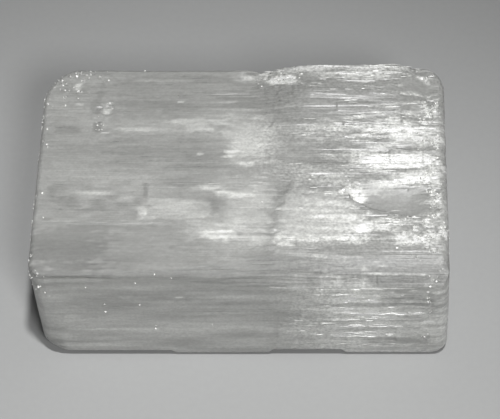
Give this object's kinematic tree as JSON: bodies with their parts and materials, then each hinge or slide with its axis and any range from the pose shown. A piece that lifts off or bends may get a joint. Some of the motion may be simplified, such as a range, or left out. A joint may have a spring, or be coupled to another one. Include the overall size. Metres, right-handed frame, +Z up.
{
  "type": "selenite crystal block",
  "caption": "Free-standing natural block of fibrous selenite with a lathed, chipped top, rounded edges and a flat face to rest on.",
  "frame": {"origin": "middle of the bounding box, on the surface that the block rests on", "axes": "+X along the fibres, towards the roughest end; -Y the smooth front face; +Z up from the resting face"},
  "size_m": [0.0716, 0.045, 0.026],
  "materials": {
    "selenite": "silky, partly see-through"
  },
  "bodies": {
    "root": {"selenite_block": "selenite"}
  },
  "joints": []
}
